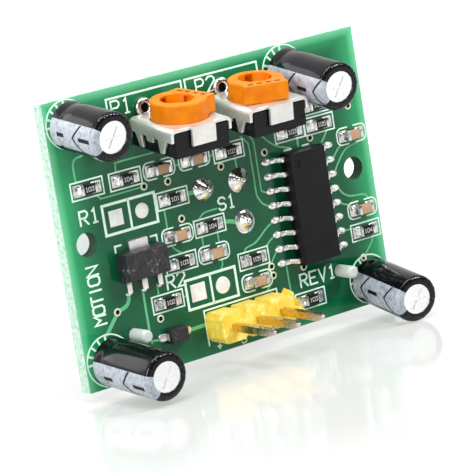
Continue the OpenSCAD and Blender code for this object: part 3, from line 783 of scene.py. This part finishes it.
def make_pads():
    """Bare option pads with a crown of solder."""
    shape = Shape()
    for x, z, size in ((-10.8, 1.5, 0.675), (-4.0, -6.55, 0.75)):
        shape.prism(rectangle(0, 0, size, size), 0.0, 0.06, on_board(x, z))
        shape.prism(rectangle(0, 0, size * 0.86, size * 0.86), 0.05, 0.078, on_board(x, z), shrink=0.25)
    for x, z, r in ((-8.2, 1.5, 0.65), (-1.45, -6.6, 0.725)):
        crown = [(r, 0.0), (r, 0.05), (r * 0.86, 0.072), (r * 0.5, 0.078), (0, 0.076)]
        shape.lathe(crown, on_board(x, z), 40)
    make("option_pads_piece", shape, "pad", replaces=["option_pads"], bevel=0.02)


def fillet(shape, place, reach, width, height):
    """A concave wedge of solder from a chip's end face (local X = 0) down to its pad."""
    foot, steps = 0.02, 5
    verts = []
    for k in range(steps + 1):
        t = k / steps
        x = reach * t
        h = foot + (height - foot) * (1 - math.sin(t * math.pi / 2))
        w = width / 2 * (1 - 0.18 * t)
        verts += [(x, -w, 0.0), (x, -w * 0.8, h * 0.93), (x, 0, h), (x, w * 0.8, h * 0.93), (x, w, 0.0)]
    shape.add(verts, ring_faces(steps + 1, 5), place)


def make_chip_solder():
    pads, solder, bare = Shape(), Shape(), Shape()
    half = 0.8
    for x, z, tall in [(x, z, 0.34) for x, z, _ in RESISTORS] + [(x, z, 0.5) for x, z in CERAMICS]:
        # Partly flux, partly painted shade: a dark patch on the board under the chip's body.
        bare.prism(rectangle(x, z, 0.36, 0.5), 0.0, 0.012, FLAT)
        for side in (-1, 1):
            turn = Matrix.Rotation(0 if side > 0 else math.pi, 4, "Z")
            pads.prism(rectangle(x + side * 0.9, z, 0.47, 0.5), 0.0, 0.03, FLAT)
            place = on_board(x + side * half, z, 0.02) @ turn
            reach = 0.42 + random.uniform(-0.04, 0.05)
            fillet(solder, place, reach, 0.78, tall + random.uniform(-0.06, 0.04))
    make("chip_pads", pads, "solder", bevel=0.01, segments=1)
    make("chip_solder", solder, "solder")
    make("chip_gaps", bare, "flux_and_shade")


def make_lead_solder():
    """Rounded solder over every flat lead end: controller, regulator and diode."""
    dome = [polar(1, a) for a in range(0, 91, 18)]
    lumps = [(IC_X + side * 3.34, IC_Z + (3.5 - k) * 1.27, 0.5, 0.31, 0.3)
             for k in range(8) for side in (-1, 1)]
    lumps += [(REGULATOR_X + 1.55 * k, -4.98, 0.27, 0.2, 0.28) for k in (-1, 0, 1)]
    lumps += [(REGULATOR_X, -0.84, 0.9, 0.14, 0.10)]
    lumps += [(x, -9.42, 0.3, 0.32, 0.2) for x in DIODE_ENDS]
    shape = Shape()
    for x, z, half_x, half_z, height in lumps:
        shape.lathe(dome, on_board(x, z) @ Matrix.Diagonal((half_x, half_z, height, 1)), 24)
    make("lead_solder", shape, "bright")


def make_detector_joints():
    """Three uneven cones of solder, each drawn up to the cut end of its wire."""
    low, high = box_mm("detector_leads")
    mid = (low + high) / 2
    reach = (high.x - low.x) / 2 - 0.225
    wire, foot, top = 0.24, 1.02, 0.74
    rings, segments = 10, 48
    shape = Shape()
    for n, (side_x, side_z, hollow) in enumerate(((1, 1, 1.05), (-1, 1, 0.95), (1, -1, 1.7))):
        place = on_board(mid.x + side_x * reach, mid.z + side_z * reach)
        verts = []
        for t in (i / (rings - 1) for i in range(rings)):
            for turn in (360 * k / segments for k in range(segments)):
                a = math.radians(turn)
                lobe = 0.06 * math.sin(2 * a + n * 2.1) + 0.035 * math.sin(3 * a + n)
                wave = 1 + lobe * (1 - t) + 0.02 * math.sin(5 * a + n + 3 * t) * t
                r = (foot + (wire - foot) * t) * wave
                verts.append((*polar(r, turn), 0.04 + top * t ** hollow))
        shape.add(verts, ring_faces(rings, segments), place)
        shape.lathe([(0, 0.5), (wire, 0.55), (wire, top + 0.12), (wire - 0.08, top + 0.2), (0, top + 0.21)],
                    place, 24)
    make("detector_joints", shape, "joint", replaces=["detector_solder"], angle=60)


# -------------------- electrolytic capacitors

STRIPE_START = (148, 152, 164, 144)
STRIPE_WIDE = 68


def cap_sleeve(i):
    """The shrunk sleeve: a foot rim, the straight wall with its stripe, and the lip rolled over the can."""
    r, h, foot = CAP_R, CAPS[i][4], CAP_FOOT
    profile = [(r - 0.35, foot + 0.02), (r - 0.12, foot), (r, foot + 0.10), (r, foot + 0.7),
               (r - 0.07, foot + 0.95), (r - 0.07, foot + 1.2), (r, foot + 1.42)]
    profile += [(r, foot + 1.42 + (h - foot - 1.82) * k / 4) for k in range(1, 5)]
    profile += [(r - 0.4 + dx, h - 0.4 + dz) for dx, dz in (polar(0.4, a) for a in range(15, 91, 15))]
    profile += [(1.50, h + 0.01), (LIP_R + 0.04, h), (LIP_R, h - 0.05), (LIP_R + 0.02, h - 0.09)]

    def colours(step, turn):
        inside = STRIPE_START[i] <= turn * 360 < STRIPE_START[i] + STRIPE_WIDE
        return 1 if inside and 1 <= step <= len(profile) - 3 else 0

    shape = Shape()
    shape.lathe(profile, None, 180, colours)
    for v in shape.verts:
        # Small folds where the sleeve shrank over the shoulder
        a = math.atan2(v.y, v.x)
        fold = (math.sin(17 * a + i) + math.sin(29 * a + 2 * i) + math.sin(43 * a)) / 3
        strength = max(0.0, min(1.0, (v.z - h + 0.42) / 0.3))
        out = 0.02 * fold * strength + 0.03 * math.sin(2 * a + i) * (1 if v.xy.length < LIP_R + 0.06 else 0)
        v.xy *= 1 + out / v.xy.length
        v.z += 0.015 * fold * strength
    shape.verts = [in_cap(i) @ v for v in shape.verts]
    name = f"capacitor_{i + 1}_sleeve"
    make(name + "_piece", shape, "sleeve stripe", replaces=[name])


def wrap(shape, outline, place):
    """Lays a thin patch on a sleeve, its outline given as (height, degrees)."""
    verts = [(*polar(CAP_R + out, a), h) for out in (0.004, 0.02) for h, a in outline]
    shape.add(verts, ring_faces(2, len(outline)), place)


# Print on each stripe: bars as (height of the middle, length), then the heights of the arrow tips
SLEEVE_PRINT = [
    ([(1.95, 0.9), (5.25, 1.5)], [3.6]),
    ([(1.9, 1.3), (5.4, 1.3)], [3.3, 6.9]),
    ([(2.4, 1.1), (6.6, 1.5)], [4.4]),
    ([(3.6, 1.4)], [1.7, 5.3]),
]


def cap_marks(i):
    """Minus bars and arrow outlines printed on the stripe, and a few ticks beside it at the tip."""
    mid = STRIPE_START[i] + STRIPE_WIDE / 2
    reach, rise, line, steps = STRIPE_WIDE / 2 - 1, 0.95, 0.2, 8
    bars, tips = SLEEVE_PRINT[i]
    shape, ticks = Shape(), Shape()
    for at, length in bars:
        wrap(shape, rectangle(at, mid, length / 2, 4.5), in_cap(i))
    for tip in tips:
        for side in (-1, 1):
            for j in range(steps):
                a0, a1 = (mid + side * reach * k / steps for k in (j, j + 1))
                h0, h1 = (tip + rise * k / steps for k in (j, j + 1))
                corners = [(h0, a0), (h1, a1), (h1 + line, a1), (h0 + line, a0)]
                wrap(shape, corners[::side], in_cap(i))
    make(f"capacitor_{i + 1}_marks", shape, "marks")
    for k in range(3):
        a = mid + STRIPE_WIDE / 2 + 12 + 11 * k
        low = CAPS[i][4] - 0.95 + 0.12 * (k % 2)
        wrap(ticks, [(low, a), (low + 0.42, a + 1), (low + 0.42, a + 4.5), (low, a + 3.5)], in_cap(i))
    make(f"capacitor_{i + 1}_ticks", ticks, "print")


def make_capacitors():
    for i in range(len(CAPS)):
        cap_sleeve(i)
        cap_marks(i)
        softened(f"capacitor_{i + 1}_can", "aluminium", 0.0)
        softened(f"capacitor_{i + 1}_bung", "rubber", 0.05)
        softened(f"capacitor_{i + 1}_leads", "tinned", 0.0)
        softened(f"capacitor_{i + 1}_winding", "winding", 0.08)


# -------------------- trimmers, chips, header, lens

ROTOR_TURN = (17, 255)
ROTOR_FLAT, ROTOR_H = 2.35, 1.6


def make_rotor_slot_shade(i, body):
    """Painted shade: dark patches on the floors of the four slots beside the rotor's flat side, where shade
    falls.
    """
    shape = Shape()
    centre = Matrix.Translation((TRIMMER_W / 2, TRIMMER_L / 2, 0))
    place = in_trimmer(i - 1) @ centre @ Matrix.Rotation(math.radians(ROTOR_TURN[i - 1]), 4, "Z")
    for k in range(4):
        slot = rectangle(ROTOR_FLAT - 0.58, (k - 1.5) * 0.8, 0.2, 0.26)
        shape.prism(slot, ROTOR_H - 0.27, ROTOR_H - 0.04, place)
    make(f"trimmer_{i}_marks", shape, "slot_shade", body=body)


def make_trimmers():
    for i in (1, 2):
        # Painted shade: a dark dish in the wiper pin's eyelet, for the shade inside its hole.
        dark = Shape()
        place = on_board(TRIMMER_X[i - 1] + 1.85, 9.85)
        dark.lathe([(0.42, 0.02), (0.40, 0.10), (0.22, 0.14), (0.0, 0.06)], place, 32)
        make(f"trimmer_{i}_eyelet_hole", dark, "hole")
        body = f"trimmer_{i}_rotor"
        softened(f"trimmer_{i}_base", "black", 0.06)
        softened(f"trimmer_{i}_cover", "plate", 0.05)
        softened(f"trimmer_{i}_rotor", "orange", 0.05, body=body)
        make_rotor_slot_shade(i, body)
        softened(f"trimmer_{i}_wiper", "gilt", 0.02, body=body)
        softened(f"trimmer_{i}_track", "carbon", 0.02)
        softened(f"trimmer_{i}_terminals", "solder", 0.0)


def make_chips():
    softened("controller_body", "epoxy", 0.06)
    softened("controller_leads", "tinned", 0.03)
    softened("regulator_body", "crust", 0.10, segments=3)
    softened("regulator_leads", "tinned", 0.04)
    softened("diode_body", "crust", 0.06)
    softened("diode_terminals", "tinned", 0.03)
    softened("resistor_bodies", "glassy", 0.03)
    softened("resistor_terminals", "solder", 0.05)
    softened("ceramic_capacitor_bodies", "tan", 0.04)
    softened("ceramic_capacitor_terminals", "solder", 0.06)
    codes = Shape()
    for x, z, text in RESISTORS:
        write(codes, text, on_board(x - 0.40, z - 0.17, 0.435), 0.34, 0.055, 0.012, 5.2)
    make("resistor_codes", codes, "code")


# Burrs on the snapped end of the header: outline on the board (x, z), lowest and highest point
HEADER_BURRS = [
    ([(3.7, -10.55), (4.5, -10.6), (5.35, -10.25), (5.0, -9.95), (4.5, -9.7), (3.7, -9.55)], 1.3, 2.25),
    ([(3.5, -9.0), (4.05, -9.0), (4.25, -8.55), (4.0, -8.1), (3.7, -8.45)], 1.0, 2.35),
    ([(3.7, -9.7), (4.4, -9.6), (4.8, -9.15), (4.3, -8.9), (3.7, -8.8)], 0.8, 2.05),
]


def make_header():
    softened("header_housing", "yellow", 0.10, segments=3)
    shape = Shape()
    for outline, low, high in HEADER_BURRS:
        shape.prism(outline, low, high, FLAT, shrink=0.28)
    make("header_burrs", shape, "yellow", bevel=0.05)
    softened("header_pins", "pins", 0.03)


def make_detector():
    softened("detector_base", "nickel", 0.05)
    softened("detector_can", "nickel", 0.0)
    softened("detector_window", "window", 0.03)
    softened("detector_leads", "tinned", 0.03)
    softened("detector_carrier", "ceramic", 0.03)
    softened("detector_elements", "element", 0.0)
    softened("detector_transistor", "epoxy", 0.04)


# Facets of the dome: rings from the tip outwards, as (angle from the tip, facets in the ring)
DOME_RINGS = [(0, 1), (21, 6), (42, 12), (62, 16), (80, 18)]
FACET_REACH = 11.5


def toward(tilt, turn):
    """The direction that leans tilt degrees off the dome's tip, turned round it by turn degrees."""
    along, across = polar(1, tilt)
    return Vector((*polar(across, turn), along))


def facet_relief(tilt, direction):
    """Height of the lens facets at a point of the dome."""
    nearest = 1e9
    for n, (ring, count) in enumerate(DOME_RINGS):
        if abs(tilt - ring) > 24:
            continue
        for k in range(count):
            centre = toward(ring, 360 * (k + 0.5 * (n % 2)) / count)
            nearest = min(nearest, (direction - centre).length)
    away = math.degrees(nearest) / FACET_REACH
    grooves = 0.5 - 0.5 * math.cos(2 * math.pi * 3.2 * away)
    return 0.15 * (1 - min(1.0, away) ** 2) + 0.05 * grooves


def make_lens():
    """The CAD moulding with its dome drawn in a little, under a faceted and grooved skin."""
    skirt = lens_high.y - BOARD_T - DOME_R

    def drawn_in(v):
        up = max(0.0, v.y - BOARD_T - skirt)
        dome = Vector((v.x, up, v.z))
        if up <= 0 or dome.length < DOME_R - 0.3:
            return v
        return v - dome.normalized() * 0.25

    softened("lens", "lens", 0.0, bend=drawn_in)
    around, down = 288, 96
    verts = []
    for tilt in (0.01 + 89.9 * i / down for i in range(down + 1)):
        for k in range(around):
            direction = toward(tilt, 360 * k / around)
            r = DOME_R - 0.2 + facet_relief(tilt, direction)
            verts.append(direction * r + Vector((0, 0, skirt)))
    skin = Shape()
    skin.add(verts, ring_faces(down + 1, around), on_back(0, 0))
    make("lens_facets", skin, "lens", angle=60)


def make_back_joints():
    """Solder round every lead that comes through to the lens side, with its copper ring."""
    shape, rings = Shape(), Shape()
    points = [(x + side * CAP_GAP / 2, z) for x, z, *_ in CAPS for side in (-1, 1)]
    points += [(x + px, pz) for x in TRIMMER_X for px, pz in TRIMMER_PINS]
    points += [(2.54 * k, HEADER_Z) for k in (-1, 0, 1)]
    for x, z in points:
        place = on_back(x, z)
        turn = random.uniform(0, 1)
        cone = [(0.0, 0.0), (0.62, 0.03), (0.5 + 0.03 * turn, 0.2), (0.36, 0.42),
                (0.27, 0.62 + 0.1 * turn), (0.0, 0.7 + 0.1 * turn)]
        shape.lathe(cone, place, 28)
        rings.lathe([(0.45, 0.0), (0.45, 0.02), (0.78, 0.02), (0.78, 0.0)], place, 36, closed=True)
    ring = [(0.19, 0.0), (0.19, 0.02), (0.34, 0.02), (0.34, 0.0)]
    for x, z in VIAS:
        if abs(x) > lens_high.x:
            rings.lathe(ring, on_back(x, z), 28, closed=True)
    make("back_joints", shape, "joint", angle=50)
    make("back_pads", rings, "pad")


# Tracks on the lens side that show outside the flange, in the same x and z as those in front
BACK_TRACKS = [
    (0.4, [(-13.1, 9.95), (-9.0, 10.9), (-3.0, 10.9), (1.6, 10.2)]),
    (0.3, [(7.4, 10.3), (6.2, 10.9), (3.6, 10.9), (2.6, 9.4)]),
    (0.4, [(-13.0, -10.1), (-9.5, -10.9), (-3.4, -10.6), (-2.6, -9.9)]),
    (0.3, [(2.6, -10.0), (4.6, -10.9), (10.2, -10.9), (13.0, -10.1)]),
    (0.3, [(11.2, 9.0), (13.2, 9.0), (14.45, 7.8), (14.45, 5.75)]),
    (0.3, [(13.2, -9.5), (13.65, -9.0), (13.65, -8.25)]),
    (0.3, [(-14.4, -9.4), (-14.2, -7.4), (-12.5, -6.4)]),
]


def make_board():
    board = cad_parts["circuit_board"]
    board.data.materials.clear()
    board.data.materials.append(M["board"])
    board.data.polygons.foreach_set("material_index", [0] * len(board.data.polygons))


# -------------------- stage, light and camera

def make_floor():
    level = cad_low.z / MM - 0.02
    shape = Shape()
    shape.add([(x, y, level) for x, y in rectangle(0, 0, 3000, 3000)], [[0, 1, 2, 3]])
    floor = new_object("floor", shape.mesh("floor"))
    floor.data.materials.append(M["floor"])


def area_light(name, place, size, power):
    """A soft box that faces the object."""
    data = bpy.data.lights.new(name, "AREA")
    data.shape = "RECTANGLE"
    data.size, data.size_y = size[0] * MM, size[1] * MM
    data.energy = power
    light = new_object(name, data)
    light.location = Vector(place) * MM
    light.rotation_mode = "QUATERNION"
    light.rotation_quaternion = (-Vector(place)).to_track_quat("-Z", "Y")


def make_light():
    """A white sweep behind the object, a dimmer room in front of it, and soft boxes above."""
    world = bpy.data.worlds.new("studio")
    bpy.context.scene.world = world
    world.use_nodes = True
    n = Nodes(world, "Background", "Generated")
    behind = n.math("MULTIPLY", n.math("ADD", n.axes()["Y"], 1.0), 0.5)
    greys = [(0.05, 0.08), (0.36, 0.22), (0.52, 0.60), (0.70, 1.0)]
    room = n.ramp(behind, [(at, (grey, grey, grey)) for at, grey in greys])
    seen = n.new("LightPath").outputs["Is Camera Ray"]
    n.into("Strength", n.math("MAXIMUM", seen, room))
    n.shader.inputs["Color"].default_value = (1.0, 1.0, 1.0, 1)
    area_light("key", (150, -170, 190), (110, 110), 0.80)
    area_light("top", (-40, -60, 230), (160, 120), 0.55)
    area_light("back", (-120, 200, 120), (150, 150), 0.15)
    area_light("fill", (-200, -80, 90), (90, 120), 0.42)


def make_camera():
    """The view of the product picture: a long lens, from the left, a little above, and rolled."""
    data = bpy.data.cameras.new("camera")
    data.sensor_width = 36
    data.lens = 223.8
    data.clip_start, data.clip_end = 0.01, 20
    cam = new_object("camera", data)
    ahead = Vector((0.553, 0.812, -0.187)).normalized()
    up = Vector((0.237, 0.062, 0.970))
    right = ahead.cross(up).normalized()
    up = right.cross(ahead)
    turn = Matrix((right, up, -ahead)).transposed()
    cam.matrix_world = Matrix.Translation(Vector((-137.2, -202.6, 43.7)) * MM) @ turn.to_4x4()
    bpy.context.scene.camera = cam


make_board()
make_tracks("tracks", TRACKS, FLAT)
make_vias()
make_legend()
make_pads()
make_chip_solder()
make_lead_solder()
make_detector_joints()
make_capacitors()
make_trimmers()
make_chips()
make_header()
make_detector()
make_lens()
make_back_joints()
make_tracks("back_tracks", BACK_TRACKS, on_back(0, 0) @ Matrix.Diagonal((1, -1, 1, 1)))
make_floor()
make_light()
make_camera()
bpy.context.scene.view_settings.view_transform = "Standard"
